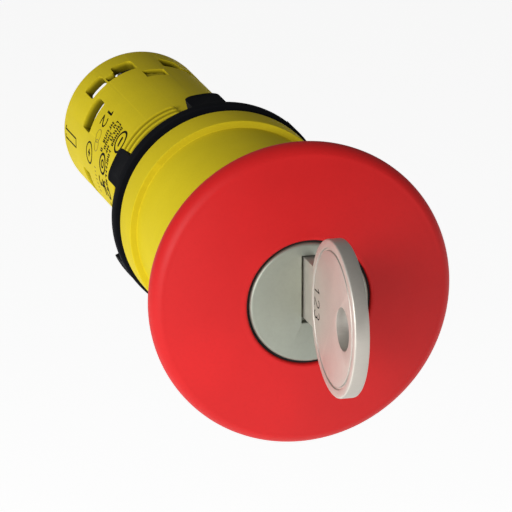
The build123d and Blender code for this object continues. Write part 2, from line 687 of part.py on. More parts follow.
def contact_block():
    """Black insert: front plate, slab that carries the terminals, and dividing fins."""
    insert = disc(INSERT_RADIUS, BLOCK_FRONT_Y, BLOCK_PLATE_Y)
    insert += block(
        (-SLAB_HALF_X, SLAB_HALF_X), (BLOCK_PLATE_Y, BLOCK_REAR_Y), (-SLAB_HALF_Z, SLAB_HALF_Z)
    )
    insert += block((-FIN_HALF_X, FIN_HALF_X), (FIN_FRONT_Y, BLOCK_REAR_Y), (-FIN_HALF_Z, FIN_HALF_Z))
    cavity_x = (-CORE_HALF_X - CORE_SLACK, CORE_HALF_X + CORE_SLACK)
    cavity_z = (-CORE_HALF_Z - CORE_SLACK, CORE_HALF_Z + CORE_SLACK)
    insert -= block(cavity_x, (BLOCK_FRONT_Y - OVERSHOOT, 35.2), cavity_z)
    insert -= block((-INSERT_RADIUS, INSERT_RADIUS), (BLOCK_PLATE_Y, 34.6), cavity_z)
    for level in (-1, 1):
        insert -= terminal_rod(SCREW_RADIUS + CORE_SLACK, 1, level, (-INSERT_RADIUS, INSERT_RADIUS))
    return insert


def contact_carrier():
    """Sliding carrier: round spring seat, core, and a window on each side for a bridge."""
    carrier = disc(SEAT_RADIUS, STEM_END_Y + 0.05, SEAT_REAR_Y)
    carrier += block(
        (-CORE_HALF_X, CORE_HALF_X), (SEAT_REAR_Y, CORE_REAR_Y), (-CORE_HALF_Z, CORE_HALF_Z)
    )
    arms = block((-ARM_OUTER_X, ARM_OUTER_X), (ARM_FRONT_Y, ARM_REAR_Y), (-ARM_HALF_Z, ARM_HALF_Z))
    for side in (-1, 1):
        arms -= block(on_side(side, ARM_WINDOW), ARM_WINDOW_Y, (-3, 3))
    return carrier + arms


def contact_bridge(side):
    """Moving contact strip with a tip at each end."""
    middle = side * sum(BRIDGE_X) / 2
    bridge = block(on_side(side, BRIDGE_X), BRIDGE_Y, (-BRIDGE_HALF_Z, BRIDGE_HALF_Z))
    for z in (-CONTACT_Z, CONTACT_Z):
        bridge += rod(
            CONTACT_RADIUS, (middle, CONTACT_FACE_Y + CONTACT_GAP, z), (middle, BRIDGE_Y[0], z)
        )
    return bridge


def contact_spring(side):
    """Spring that holds a bridge against its fixed contacts."""
    middle = side * sum(BRIDGE_X) / 2
    return coil(CONTACT_COIL, BRIDGE_Y[1] + CONTACT_GAP, ARM_WINDOW_Y[1] - CONTACT_GAP, (middle, 0))


def return_spring():
    """Spring between the contact block and the carrier's seat, which lifts the head again."""
    return coil(RETURN_COIL, SEAT_REAR_Y + SPRING_GAP, BLOCK_FRONT_Y - SPRING_GAP)


def terminal_plate(side, level):
    """Fixed contact and screw plate in one bent brass strip."""
    tongue = block(on_side(side, TONGUE_X), TONGUE_Y, on_side(level, TONGUE_Z))
    run = block(on_side(side, TONGUE_X), (TONGUE_Y[0], RUN_REAR_Y), on_side(level, RUN_Z))
    plate = block(on_side(side, PLATE_X), PLATE_Y, on_side(level, PLATE_Z))
    middle, z = side * sum(BRIDGE_X) / 2, level * CONTACT_Z
    tip = rod(CONTACT_RADIUS, (middle, TONGUE_Y[1], z), (middle, CONTACT_FACE_Y, z))
    hole = terminal_rod(SCREW_RADIUS + 0.05, side, level, (0, ARM_OUTER_X))
    return tongue + run + plate + tip - hole


def clamp_washer(side, level):
    """Square clamping plate under a terminal screw's head."""
    y = (TERMINAL_Y - CLAMP_HALF_Y, TERMINAL_Y + CLAMP_HALF_Y)
    z = on_side(level, (TERMINAL_Z - CLAMP_HALF_Z, TERMINAL_Z + CLAMP_HALF_Z))
    hole = terminal_rod(SCREW_RADIUS + 0.06, side, level, (0, ARM_OUTER_X))
    return block(on_side(side, CLAMP_X), y, z) - hole


def terminal_screw(side, level):
    """Slotted clamp screw, its head towards the shell's window."""
    y, z = TERMINAL_Y, level * TERMINAL_Z
    head = terminal_rod(SCREW_HEAD_RADIUS, side, level, SCREW_HEAD_X)
    rim = [e for e in head.edges().filter_by(GeomType.CIRCLE) if abs(e.arc_center.X) > 5]
    head = fillet(rim, SCREW_HEAD_ROUND)
    shank = terminal_rod(SCREW_RADIUS, side, level, (SCREW_TIP_X, SCREW_HEAD_X[0] + 0.05))
    slot = block(
        on_side(side, (SCREW_SLOT_X, ARM_OUTER_X)), (y - 2, y + 2),
        (z - SCREW_SLOT_HALF, z + SCREW_SLOT_HALF),
    )
    return head + shank - slot


# ---- nodes ----

def solids_of(shape):
    """One compound of a node's solids, from one shape or a list of them."""
    shapes = shape if isinstance(shape, list) else [shape]
    solids = [solid for piece in shapes for solid in piece.solids()]
    return solids[0] if len(solids) == 1 else Compound(children=solids)


def nodes():
    """Every node's name and shape."""
    made = {
        "mushroom_head": mushroom_head(),
        "head_seal": head_seal(),
        "lock_seal_ring": lock_seal_ring(),
        "lock_barrel": lock_barrel(),
        "push_stem": push_stem(),
        "stem_pins": stem_pins(0.0),
        "lock_plug": lock_plug(),
        "wafer_springs": wafer_springs(),
        "plug_clip": plug_clip(),
        "release_shaft": release_shaft(),
        "release_cam": release_cam(),
        "key": key(),
        "bezel_collar": bezel_collar(),
        "panel_gasket": panel_gasket(),
        "front_bushing": front_bushing(),
        "latch_housing": latch_housing(),
        "latch_spring": latch_spring(),
        "body_shell": body_shell(),
        "fixing_nut": fixing_nut(),
        "lock_washer": lock_washer(),
        "contact_block": contact_block(),
        "contact_carrier": contact_carrier(),
        "contact_bridge_left": contact_bridge(-1),
        "contact_bridge_right": contact_bridge(1),
        "contact_spring_left": contact_spring(-1),
        "contact_spring_right": contact_spring(1),
        "return_spring": return_spring(),
    }
    for n, (place, _) in enumerate(wafer_places()):
        made[f"wafer_{n + 1}"] = wafer(place)
    corners = ((-1, 1), (-1, -1), (1, 1), (1, -1))
    for n, (side, level) in enumerate(corners):
        made[f"terminal_plate_{n + 1}"] = terminal_plate(side, level)
        made[f"clamp_washer_{n + 1}"] = clamp_washer(side, level)
        made[f"terminal_screw_{n + 1}"] = terminal_screw(side, level)
    return made


os.makedirs("parts", exist_ok=True)
for name, shape in nodes().items():
    export_step(solids_of(shape), f"parts/{name}.step")
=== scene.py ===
import math
import random

import bmesh
import bpy
from mathutils import Matrix, Vector


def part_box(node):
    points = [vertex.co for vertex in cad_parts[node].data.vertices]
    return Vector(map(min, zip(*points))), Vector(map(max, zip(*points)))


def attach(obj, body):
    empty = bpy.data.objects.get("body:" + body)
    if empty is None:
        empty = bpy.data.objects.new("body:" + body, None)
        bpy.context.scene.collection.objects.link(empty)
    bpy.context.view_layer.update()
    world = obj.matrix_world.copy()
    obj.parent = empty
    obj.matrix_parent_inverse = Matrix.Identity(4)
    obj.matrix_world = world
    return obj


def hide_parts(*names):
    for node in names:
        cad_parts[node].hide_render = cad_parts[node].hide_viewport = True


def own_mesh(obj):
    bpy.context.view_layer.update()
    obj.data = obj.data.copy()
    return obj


# Looks for a key-released emergency stop button. Everything is in metres, in the CAD frame:
# the button axis is Y, the front faces -Y and +Z is up. Sizes written in millimetres go through MM.

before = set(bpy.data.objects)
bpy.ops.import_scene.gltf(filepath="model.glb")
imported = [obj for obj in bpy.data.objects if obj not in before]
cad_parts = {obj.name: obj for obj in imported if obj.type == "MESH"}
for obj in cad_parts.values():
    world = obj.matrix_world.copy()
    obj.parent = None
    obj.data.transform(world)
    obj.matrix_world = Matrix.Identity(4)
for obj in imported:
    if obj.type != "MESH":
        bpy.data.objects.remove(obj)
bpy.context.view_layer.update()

MM = 0.001
ROUND_SEGMENTS = 192

# ---- places taken from the frame ----
HEAD_LOW, HEAD_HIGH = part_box("mushroom_head")
HEAD_RADIUS = HEAD_HIGH.x
HEAD_FRONT = HEAD_LOW.y
HEAD_EDGE = HEAD_FRONT + 4.8 * MM  # plane of the widest part of the rim
NECK_END = HEAD_HIGH.y
BEZEL_LOW, BEZEL_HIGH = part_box("bezel_collar")
GASKET_LOW, GASKET_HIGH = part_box("panel_gasket")
NUT_LOW, NUT_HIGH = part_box("fixing_nut")
SHELL_LOW, SHELL_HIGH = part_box("body_shell")
PLUG_LOW, PLUG_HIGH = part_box("lock_plug")
KEY_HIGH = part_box("key")[1]
SEAL_LOW, SEAL_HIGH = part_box("lock_seal_ring")

# ---- sizes that the boxes don't give; angles are in degrees ----
HEAD_HOLE = 8.22 * MM
HEAD_HOLE_LIP = 0.35 * MM
HEAD_DOME = 50 * MM
HEAD_RIM = 2.2 * MM
HEAD_TUCK = 2.6 * MM
NECK_RADIUS = 11.5 * MM
NECK_BORE = 9.2 * MM
NECK_BORE_FRONT = -40.3 * MM
NECK_GROOVE = (-22.1 * MM, -20.9 * MM)
NECK_GROOVE_DEPTH = 0.65 * MM
CAP_RADIUS = 7.87 * MM
CAP_GAP = 0.05 * MM
PLUG_RADIUS = 6.9 * MM
PLUG_SHOULDER = -40.4 * MM
CLIP_GROOVE = (-22.9 * MM, -22.2 * MM)
KEYWAY_REAR = -24.5 * MM
BEZEL_FRONT_RADIUS = 13.35 * MM
BEZEL_STEP = -6.85 * MM
BEZEL_BORE = 11.8 * MM
SHELL_RADIUS = 10.28 * MM
SHELL_BORE = 9.03 * MM
FLANGE_FRONT = SHELL_LOW.y
PITCH = 1.5 * MM
THREAD_CREST = 10.95 * MM
THREAD_END = 15.4 * MM
THREAD_TURNS = 9
THREAD_HALF_ANGLE = 80
THREAD_ROOTED = 0.2 * MM  # how far a ridge reaches into the wall that carries it
THROUGH = (8.4 * MM, 11.2 * MM)  # radii that a cutter needs to pass through the shell's wall
REAR_WINDOW = (36.7, 53.7)
REAR_WINDOW_Y = (36.1 * MM, 40.1 * MM)
SIDE_WINDOW = (15.7, 41.7)
SIDE_WINDOW_Y = (31.4 * MM, 34.9 * MM)
STEP_WINDOW = (54.9, 79.7)
STEP_WINDOW_TURN = 62.7
STEP_WINDOW_Y = (36.2 * MM, 38.0 * MM, 40.2 * MM)
RECESS_ANGLES = (91, 271)
RECESS_HALF_ANGLE = 8.5
RECESS_Y = (31.4 * MM, 34.4 * MM)
RECESS_DEPTH = 0.75 * MM
NUT_BORE = 11.1 * MM
NUT_BAND = 1.6 * MM
NUT_COLLAR = 12.5 * MM
NUT_THREAD_TIP = 10.42 * MM
NUT_THREAD_HALF_ANGLE = 85
WASHER_ROOM = 13.4 * MM
WASHER_ROOM_DEPTH = 0.7 * MM
LOBES = 6
LOBE_HALF_ANGLE = 8.3
LOBE_FIRST_ANGLE = 95
LOBE_CORNER = 1.0 * MM
BOW_RADIUS = 10.1 * MM
BOW_CENTRE = Vector((0, -56.2 * MM, 2.1 * MM))
BOW_HALF = 1.0 * MM
RING_HOLE = Vector((0, -60.8 * MM, 2.1 * MM))
RING_HOLE_RADIUS = 2.8 * MM
BOW_GROOVE = (8.6 * MM, 9.0 * MM)
BOW_GROOVE_DEPTH = 0.22 * MM
BLADE_HALF = 0.74 * MM
BLADE_BOTTOM = -2.0 * MM
BLADE_TOP = 4.6 * MM
BLADE_CHAMFER = 1.2 * MM
ROOT_TOP = 6.1 * MM
KEY_CUTS = (0.4, 1.1, 0.7, 1.3, 0.5)  # in millimetres, front wafer first
KEY_CUT_HALF = 0.75 * MM
PRINT_HEIGHT = 0.03 * MM


# ---- mesh helpers ----

def mm(points):
    """Points given in millimetres, in metres."""
    return [tuple(c * MM for c in p) for p in points]


def rounded(points, steps=5):
    """Closed outline from (x, y, corner radius) points, each corner turned into an arc."""
    outline = []
    count = len(points)
    for n, (x, y, radius) in enumerate(points):
        here = Vector((x, y))
        before = Vector(points[n - 1][:2]) - here
        after = Vector(points[(n + 1) % count][:2]) - here
        if radius <= 0:
            outline.append((x, y))
            continue
        turn = before.angle(after)
        reach = min(radius / math.tan(turn / 2), before.length * 0.49, after.length * 0.49)
        size = reach * math.tan(turn / 2)
        middle = here + (before.normalized() + after.normalized()).normalized() * (size / math.sin(turn / 2))
        start = here + before.normalized() * reach - middle
        end = here + after.normalized() * reach - middle
        sweep = start.angle_signed(end)
        for step in range(steps + 1):
            angle = -sweep * step / steps
            spot = middle + Matrix.Rotation(angle, 2) @ start
            outline.append((spot.x, spot.y))
    return outline


def new_object(name, mesh):
    """Object in the scene for a mesh."""
    piece = bpy.data.objects.new(name, mesh)
    bpy.context.scene.collection.objects.link(piece)
    return piece


def mesh_object(name, bm, sharp=35):
    """Object from a bmesh, shaded smooth but for edges sharper than an angle in degrees."""
    bmesh.ops.remove_doubles(bm, verts=bm.verts, dist=1e-7)
    bmesh.ops.recalc_face_normals(bm, faces=bm.faces)
    mesh = bpy.data.meshes.new(name)
    bm.to_mesh(mesh)
    bm.free()
    finish_shading(mesh, sharp)
    return new_object(name, mesh)


def finish_shading(mesh, sharp=35):
    """Smooth faces, with sharp edges kept crisp."""
    for face in mesh.polygons:
        face.use_smooth = True
    mesh.set_sharp_from_angle(angle=math.radians(sharp))


def lathe(name, outline, segments=ROUND_SEGMENTS):
    """Solid of revolution about Y from a closed outline of (radius, y) points."""
    bm = bmesh.new()
    rings = []
    for step in range(segments):
        angle = 2 * math.pi * step / segments
        rings.append([
            bm.verts.new((r * math.cos(angle), y, r * math.sin(angle))) for r, y in outline
        ])
    count = len(outline)
    for step in range(segments):
        near, far = rings[step], rings[(step + 1) % segments]
        for n in range(count):
            m = (n + 1) % count
            if outline[n][0] < 1e-9 and outline[m][0] < 1e-9:
                continue
            corners = [near[n], near[m], far[m], far[n]]
            if outline[n][0] < 1e-9:
                corners = [near[n], near[m], far[m]]
            elif outline[m][0] < 1e-9:
                corners = [near[n], near[m], far[n]]
            bm.faces.new(corners)
    return mesh_object(name, bm)


def prism(name, outline, depth, matrix):
    """Solid from a closed outline in X and Y, pushed along Z from 0 to depth, then placed."""
    bm = bmesh.new()
    low = [bm.verts.new((x, y, 0)) for x, y in outline]
    high = [bm.verts.new((x, y, depth)) for x, y in outline]
    bm.faces.new(low)
    bm.faces.new(high)
    for n in range(len(outline)):
        m = (n + 1) % len(outline)
        bm.faces.new((low[n], low[m], high[m], high[n]))
    bmesh.ops.transform(bm, matrix=matrix, verts=bm.verts)
    return mesh_object(name, bm)


def box_outline(x, y, radius=0.0):
    """Rounded rectangle from its limits."""
    return rounded([
        (x[0], y[0], radius), (x[1], y[0], radius), (x[1], y[1], radius), (x[0], y[1], radius)
    ])


def circle_outline(x, y, radius, count=64):
    """Circle as a closed outline."""
    turn = 2 * math.pi / count
    return [
        (x + radius * math.cos(n * turn), y + radius * math.sin(n * turn)) for n in range(count)
    ]


def block(name, x, y, z):
    """Box from its limits."""
    return prism(name, box_outline(x, y), z[1] - z[0], Matrix.Translation((0, 0, z[0])))


def boolean(piece, tools, operation="DIFFERENCE"):
    """Applies boolean tools to a piece and removes them."""
    for tool in tools:
        step = piece.modifiers.new("boolean", "BOOLEAN")
        step.operation = operation
        step.solver = "EXACT"
        step.object = tool
    apply_modifiers(piece)
    for tool in tools:
        bpy.data.objects.remove(tool)
    return piece


def apply_modifiers(piece, sharp=35):
    """Replaces a piece's mesh by its evaluated one."""
    bpy.context.view_layer.update()
    depsgraph = bpy.context.evaluated_depsgraph_get()
    mesh = bpy.data.meshes.new_from_object(piece.evaluated_get(depsgraph))
    piece.modifiers.clear()
    piece.data = mesh
    bm = bmesh.new()
    bm.from_mesh(mesh)
    bmesh.ops.remove_doubles(bm, verts=bm.verts, dist=2e-7)
    bmesh.ops.dissolve_degenerate(bm, dist=1e-7, edges=bm.edges)
    bm.to_mesh(mesh)
    bm.free()
    finish_shading(mesh, sharp)
    return piece


def bevel(piece, width, segments=2, angle=40):
    """Small rounding of every edge sharper than an angle."""
    step = piece.modifiers.new("bevel", "BEVEL")
    step.width = width
    step.segments = segments
    step.limit_method = "ANGLE"
    step.angle_limit = math.radians(angle)
    return apply_modifiers(piece, angle)


def fine(points, step):
    """Stroke with its long stretches cut into pieces no longer than a step."""
    cut = []
    for here, ahead in zip(points, points[1:]):
        count = max(1, math.ceil(math.dist(here, ahead) / step))
        for part in range(count):
            share = part / count
            cut.append((here[0] + (ahead[0] - here[0]) * share, here[1] + (ahead[1] - here[1]) * share))
    return cut + [points[-1]]


def on_cylinder(angle, y, radius):
    """Point at an angle in degrees, from +X towards +Z, on a cylinder about the button axis."""
    return (radius * math.cos(math.radians(angle)), y, radius * math.sin(math.radians(angle)))


def wrapped(name, outline, angle, y, inner, outer):
    """Solid bent round the button axis from an outline of (arc length, distance to the front)."""
    at = (inner + outer) / 2
    bm = bmesh.new()
    layers = []
    points = fine(outline + [outline[0]], 0.35 * MM)[:-1]
    for radius in (inner, outer):
        layers.append([
            bm.verts.new(on_cylinder(angle + math.degrees(u / at), y - v, radius)) for u, v in points
        ])
    low, high = layers
    bm.faces.new(low)
    bm.faces.new(high)
    for n in range(len(points)):
        m = (n + 1) % len(points)
        bm.faces.new((low[n], low[m], high[m], high[n]))
    return mesh_object(name, bm)


def arc_points(centre, radius, start, end, count):
    """Points along an arc between two angles in degrees."""
    angles = [math.radians(start + (end - start) * n / count) for n in range(count + 1)]
    return [(centre[0] + radius * math.cos(a), centre[1] + radius * math.sin(a)) for a in angles]


# each figure is drawn with strokes in a box one wide and one and a half high
FIGURES = {
    "1": [[(0.2, 1.15), (0.55, 1.5), (0.55, 0)]],
    "2": [arc_points((0.5, 1.08), 0.42, 160, -35, 16) + [(0.08, 0), (0.95, 0)]],
    "3": [arc_points((0.48, 1.12), 0.38, 150, -80, 16) + arc_points((0.46, 0.4), 0.42, 80, -150, 18)],
}


def figures(text, height, width):
    """Strokes of a row of figures, centred on the origin, where width stretches them sideways."""
    scale = height / 1.5
    spacing = 1.35 * scale * width
    strokes = []
    for n, figure in enumerate(text):
        shift = (n - (len(text) - 1) / 2) * spacing
        for stroke in FIGURES[figure]:
            strokes.append([((x - 0.5) * scale * width + shift, y * scale - height / 2) for x, y in stroke])
    return strokes


def ribbon(bm, points, width, spot):
    """Closed thin strip along a stroke, where spot turns (u, v, level) into a place."""
    rows = []
    for n, (u, v) in enumerate(points):
        before, after = points[max(n - 1, 0)], points[min(n + 1, len(points) - 1)]
        way = (Vector(after) - Vector(before)).normalized() * width / 2
        sides = ((u - way.y, v + way.x), (u + way.y, v - way.x))
        rows.append([bm.verts.new(spot(*side, level)) for side in sides for level in (0, 1)])
    for near, far in zip(rows, rows[1:]):
        for a, b in ((0, 1), (1, 3), (3, 2), (2, 0)):
            bm.faces.new((near[a], near[b], far[b], far[a]))
    for a, b, c, d in (rows[0], rows[-1]):
        bm.faces.new((a, b, d, c))


def place(piece, body, slot, material, replaced=()):
    """Says what a piece rides on, what it stands for and what it is made of."""
    piece.data.materials.clear()
    piece.data.materials.append(material)
    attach(piece, body)
    if replaced:
        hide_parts(*replaced)


# ---- materials ----

class Nodes:
    """Short way to build a node material."""

    def __init__(self, name):
        self.material = bpy.data.materials.new(name)
        self.material.use_nodes = True
        self.tree = self.material.node_tree
        self.tree.nodes.clear()
        self.shader = self.add("ShaderNodeBsdfPrincipled")
        output = self.add("ShaderNodeOutputMaterial")
        self.link(self.shader.outputs["BSDF"], output.inputs["Surface"])
        self.place = self.add("ShaderNodeTexCoord").outputs["Object"]

    def add(self, kind, **settings):
        node = self.tree.nodes.new(kind)
        for key, value in settings.items():
            setattr(node, key, value)
        return node

    def link(self, source, target):
        self.tree.links.new(source, target)

    def noise(self, scale, detail=3.0, roughness=0.5, stretch=None):
        """Noise factor at a scale in cycles per metre, stretched along the axes if asked."""
        node = self.add("ShaderNodeTexNoise")
        node.inputs["Scale"].default_value = scale
        node.inputs["Detail"].default_value = detail
        node.inputs["Roughness"].default_value = roughness
        source = self.place
        if stretch:
            mapping = self.add("ShaderNodeMapping")
            mapping.inputs["Scale"].default_value = stretch
            self.link(source, mapping.inputs["Vector"])
            source = mapping.outputs["Vector"]
        self.link(source, node.inputs["Vector"])
        return node.outputs["Fac"]

    def ramp(self, factor, stops):
        """Colour ramp from (position, colour) stops."""
        node = self.add("ShaderNodeValToRGB")
        ramp = node.color_ramp
        while len(ramp.elements) > 1:
            ramp.elements.remove(ramp.elements[-1])
        ramp.elements[0].position, ramp.elements[0].color = stops[0]
        for position, colour in stops[1:]:
            ramp.elements.new(position).color = colour
        self.link(factor, node.inputs["Fac"])
        return node.outputs["Color"]

    def band(self, factor, low, high):
        """Factor from 0..1 mapped to low..high."""
        node = self.add("ShaderNodeMapRange")
        node.inputs["To Min"].default_value = low
        node.inputs["To Max"].default_value = high
        self.link(factor, node.inputs["Value"])
        return node.outputs["Result"]

    def mix(self, factor, a, b, blend="MIX"):
        """Colour mix of two outputs or colours."""
        node = self.add("ShaderNodeMix", data_type="RGBA", blend_type=blend)
        if isinstance(factor, (int, float)):
            node.inputs["Factor"].default_value = factor
        else:
            self.link(factor, node.inputs["Factor"])
        for socket, value in ((node.inputs[6], a), (node.inputs[7], b)):
            if isinstance(value, (tuple, list)):
                socket.default_value = value
            else:
                self.link(value, socket)
        return node.outputs[2]

    def bump(self, heights):
        """Bump from (height output, distance in metres, strength) layers, one on another."""
        normal = None
        for height, distance, strength in heights:
            node = self.add("ShaderNodeBump")
            node.inputs["Distance"].default_value = distance
            node.inputs["Strength"].default_value = strength
            self.link(height, node.inputs["Height"])
            if normal is not None:
                self.link(normal, node.inputs["Normal"])
            normal = node.outputs["Normal"]
        self.link(normal, self.shader.inputs["Normal"])

    def set(self, **values):
        for key, value in values.items():
            self.shader.inputs[key.replace("_", " ")].default_value = value


def linear(red, green, blue):
    """Linear colour from 0..255 display values."""
    channels = []
    for level in (red / 255, green / 255, blue / 255):
        channels.append(level / 12.92 if level <= 0.04045 else ((level + 0.055) / 1.055) ** 2.4)
    return (*channels, 1.0)


def grey(level):
    """Grey of a linear brightness."""
    return (level, level, level, 1)


def shade(colour, factor):
    """The same colour, lighter or darker."""
    return (*[min(1.0, c * factor) for c in colour[:3]], 1.0)


def worn(nodes, colour, factor=1.25, amount=0.35):
    """Colour a little lighter along the outer edges."""
    geometry = nodes.add("ShaderNodeNewGeometry")
    edge = nodes.ramp(geometry.outputs["Pointiness"], [(0.5, grey(0)), (0.62, grey(amount))])
    lifted = nodes.mix(1.0, colour, grey(factor), "MULTIPLY")
    return nodes.mix(edge, colour, lifted)


def painted_radial_shade(nodes, colour, stops):
    """Colour with painted shade set by distance from the axis, where stops are (radius in mm, brightness)."""
    reach = 20
    flat = nodes.add("ShaderNodeVectorMath", operation="MULTIPLY")
    nodes.link(nodes.place, flat.inputs[0])
    flat.inputs[1].default_value = (1, 0, 1)
    length = nodes.add("ShaderNodeVectorMath", operation="LENGTH")
    nodes.link(flat.outputs["Vector"], length.inputs[0])
    share = nodes.add("ShaderNodeMath", operation="MULTIPLY")
    nodes.link(length.outputs["Value"], share.inputs[0])
    share.inputs[1].default_value = 1 / (reach * MM)
    painted_shade_level = nodes.ramp(share.outputs["Value"], [(radius / reach, grey(level)) for radius, level in stops])
    return nodes.mix(1.0, colour, painted_shade_level, "MULTIPLY")


def painted_rim_shade(nodes, colour, rim):
    """Colour with painted shade, another brightness where a face doesn't look towards +X or -X."""
    geometry = nodes.add("ShaderNodeNewGeometry")
    parts = nodes.add("ShaderNodeSeparateXYZ")
    nodes.link(geometry.outputs["Normal"], parts.inputs[0])
    size = nodes.add("ShaderNodeMath", operation="ABSOLUTE")
    nodes.link(parts.outputs["X"], size.inputs[0])
    level = nodes.ramp(size.outputs["Value"], [(0.5, grey(rim)), (0.85, grey(1))])
    return nodes.mix(1.0, colour, level, "MULTIPLY")


def moulded_plastic(name, colour, roughness, grain=4200, depth=0.000012, gloss=0.5, painted_shade_radii=()):
    """Moulded plastic: fine spark-eroded grain, slow colour drift and uneven gloss, with painted shade by
    distance from the axis when radii are given.
    """
    nodes = Nodes(name)
    drift = nodes.noise(70, 4)
    speck = nodes.noise(2400, 2)
    base = nodes.ramp(drift, [(0.3, shade(colour, 0.93)), (0.7, shade(colour, 1.05))])
    specks = nodes.ramp(speck, [(0.45, grey(0)), (0.8, grey(0.25))])
    base = nodes.mix(specks, base, shade(colour, 0.85))
    # painted shade: darker by distance from the axis
    if painted_shade_radii:
        base = painted_radial_shade(nodes, base, painted_shade_radii)
    nodes.link(worn(nodes, base), nodes.shader.inputs["Base Color"])
    nodes.link(
        nodes.band(nodes.noise(420, 5), roughness - 0.06, roughness + 0.08),
        nodes.shader.inputs["Roughness"],
    )
    nodes.bump([(nodes.noise(grain, 2), depth, 0.5), (nodes.noise(260, 2), 0.00003, 0.12)])
    nodes.set(IOR=1.5, Specular_IOR_Level=gloss)
    return nodes.material


def rubber(name, colour):
    """Soft black rubber with a dusty bloom."""
    nodes = Nodes(name)
    bloom = nodes.noise(600, 5, 0.6)
    base = nodes.ramp(bloom, [(0.35, colour), (0.75, shade(colour, 1.8))])
    nodes.link(base, nodes.shader.inputs["Base Color"])
    nodes.link(nodes.band(nodes.noise(900, 3), 0.6, 0.85), nodes.shader.inputs["Roughness"])
    nodes.bump([(nodes.noise(3800, 3), 0.00002, 0.4)])
    nodes.set(Sheen_Weight=0.1, Sheen_Roughness=0.5)
    return nodes.material


def satin_metal(name, colour, roughness, stretch, scale=2500, metallic=1.0, marks=0.35, rim=1.0):
    """Satin metal with fine directional brushing, scuffs and a soft stain, and painted shade on faces that
    don't look towards +X or -X when rim isn't 1.
    """
    nodes = Nodes(name)
    brushed = nodes.noise(scale, 2, 0.6, stretch)
    scuffs = nodes.noise(900, 6, 0.7)
    base = nodes.ramp(nodes.noise(160, 3), [(0.3, shade(colour, 0.92)), (0.7, shade(colour, 1.04))])
    lines = nodes.ramp(brushed, [(0.4, grey(0)), (0.75, grey(marks))])
    base = nodes.mix(lines, base, shade(colour, 0.8))
    # painted shade on faces that don't look along X
    if rim != 1:
        base = painted_rim_shade(nodes, base, rim)
    nodes.link(worn(nodes, base, 1.2, 0.3), nodes.shader.inputs["Base Color"])
    nodes.link(nodes.band(scuffs, roughness - 0.08, roughness + 0.1), nodes.shader.inputs["Roughness"])
    nodes.bump([(brushed, 0.000008, 0.35), (nodes.noise(5200, 2), 0.000006, 0.25)])
    nodes.set(Metallic=metallic)
    return nodes.material


YELLOW_COLOUR = linear(208, 188, 34)
RED = moulded_plastic("red_head_plastic", linear(200, 29, 30), 0.5, grain=6500, depth=0.000004, gloss=0.2)
YELLOW = moulded_plastic("yellow_shell_plastic", YELLOW_COLOUR, 0.6, grain=5200, depth=0.00001, gloss=0.04)
# Shell yellow with painted shade: the bore, the window walls and the recess floors darker, and the thread's
# flanks darker than its crests.
SHELL_YELLOW_PAINTED_SHADE = moulded_plastic(
    "yellow_tube_plastic_painted_shade", YELLOW_COLOUR, 0.6, grain=5200, depth=0.00001, gloss=0.04,
    painted_shade_radii=((9.2, 0.2), (9.7, 0.33), (10.2, 1), (10.32, 1), (10.4, 0.4), (10.75, 0.45), (10.88, 1)),
)
BLACK = moulded_plastic("black_nut_plastic", linear(19, 20, 23), 0.65, gloss=0.02)
INNER_BLACK = moulded_plastic("black_insert_plastic", linear(24, 25, 27), 0.5, gloss=0.2)
WHITE = moulded_plastic("white_acetal", linear(226, 223, 212), 0.4, depth=0.000008)
RUBBER = rubber("black_rubber", linear(12, 12, 13))
FACE_METAL = satin_metal("lock_face_metal", linear(154, 158, 146), 0.5, (1, 1, 1), 1800, 0.6, 0.15)
BARREL_METAL = satin_metal("lock_barrel_metal", linear(150, 150, 145), 0.4, (1, 8, 1))
# The key metal has painted shade: faces of the bow that don't look towards +X or -X are darkened to 0.72.
KEY_METAL_PAINTED_RIM_SHADE = satin_metal("key_metal", linear(216, 210, 200), 0.48, (1, 1, 6), 1600, 0.75, 0.2, rim=0.72)
STEEL = satin_metal("zinc_plated_steel", linear(176, 178, 184), 0.32, (1, 6, 1))
SPRING_STEEL = satin_metal("spring_steel", linear(150, 152, 158), 0.25, (6, 6, 1))
BRASS = satin_metal("stamped_brass", linear(206, 172, 96), 0.3, (1, 5, 1))
INK = moulded_plastic("black_ink", linear(12, 11, 9), 0.7, grain=9000, depth=0.000002, gloss=0.05)
PALE_INK = moulded_plastic("worn_ink", linear(132, 116, 26), 0.6, grain=9000, depth=0.000002, gloss=0.3)


# ---- head ----

def head_front():
    """Outline of the head's front, from the hole's lip over the dome and round the rim."""
    lip_depth, lip_rise = 0.4 * MM, 0.39 * MM
    outline = [(HEAD_HOLE, HEAD_FRONT + lip_depth)]
    for step in range(1, 6):
        angle = math.radians(90) * step / 5
        outline.append((
            HEAD_HOLE + HEAD_HOLE_LIP * (1 - math.cos(angle)),
            HEAD_FRONT + lip_depth - lip_rise * math.sin(angle),
        ))
    dome_start, dome_end = HEAD_HOLE + HEAD_HOLE_LIP, HEAD_RADIUS - 0.658 * HEAD_RIM
    for step in range(1, 29):
        radius = dome_start + (dome_end - dome_start) * step / 28
        outline.append((radius, HEAD_FRONT + (radius ** 2 - HEAD_HOLE ** 2) / (2 * HEAD_DOME)))
    for step in range(1, 13):
        angle = math.radians(70) * (1 - step / 12)
        outline.append((
            HEAD_RADIUS - HEAD_RIM + HEAD_RIM * math.cos(angle), HEAD_EDGE - HEAD_RIM * math.sin(angle)
        ))
    for step in range(1, 11):
        angle = math.radians(62) * step / 10
        outline.append((
            HEAD_RADIUS - HEAD_TUCK + HEAD_TUCK * math.cos(angle), HEAD_EDGE + HEAD_TUCK * math.sin(angle)
        ))
    return outline


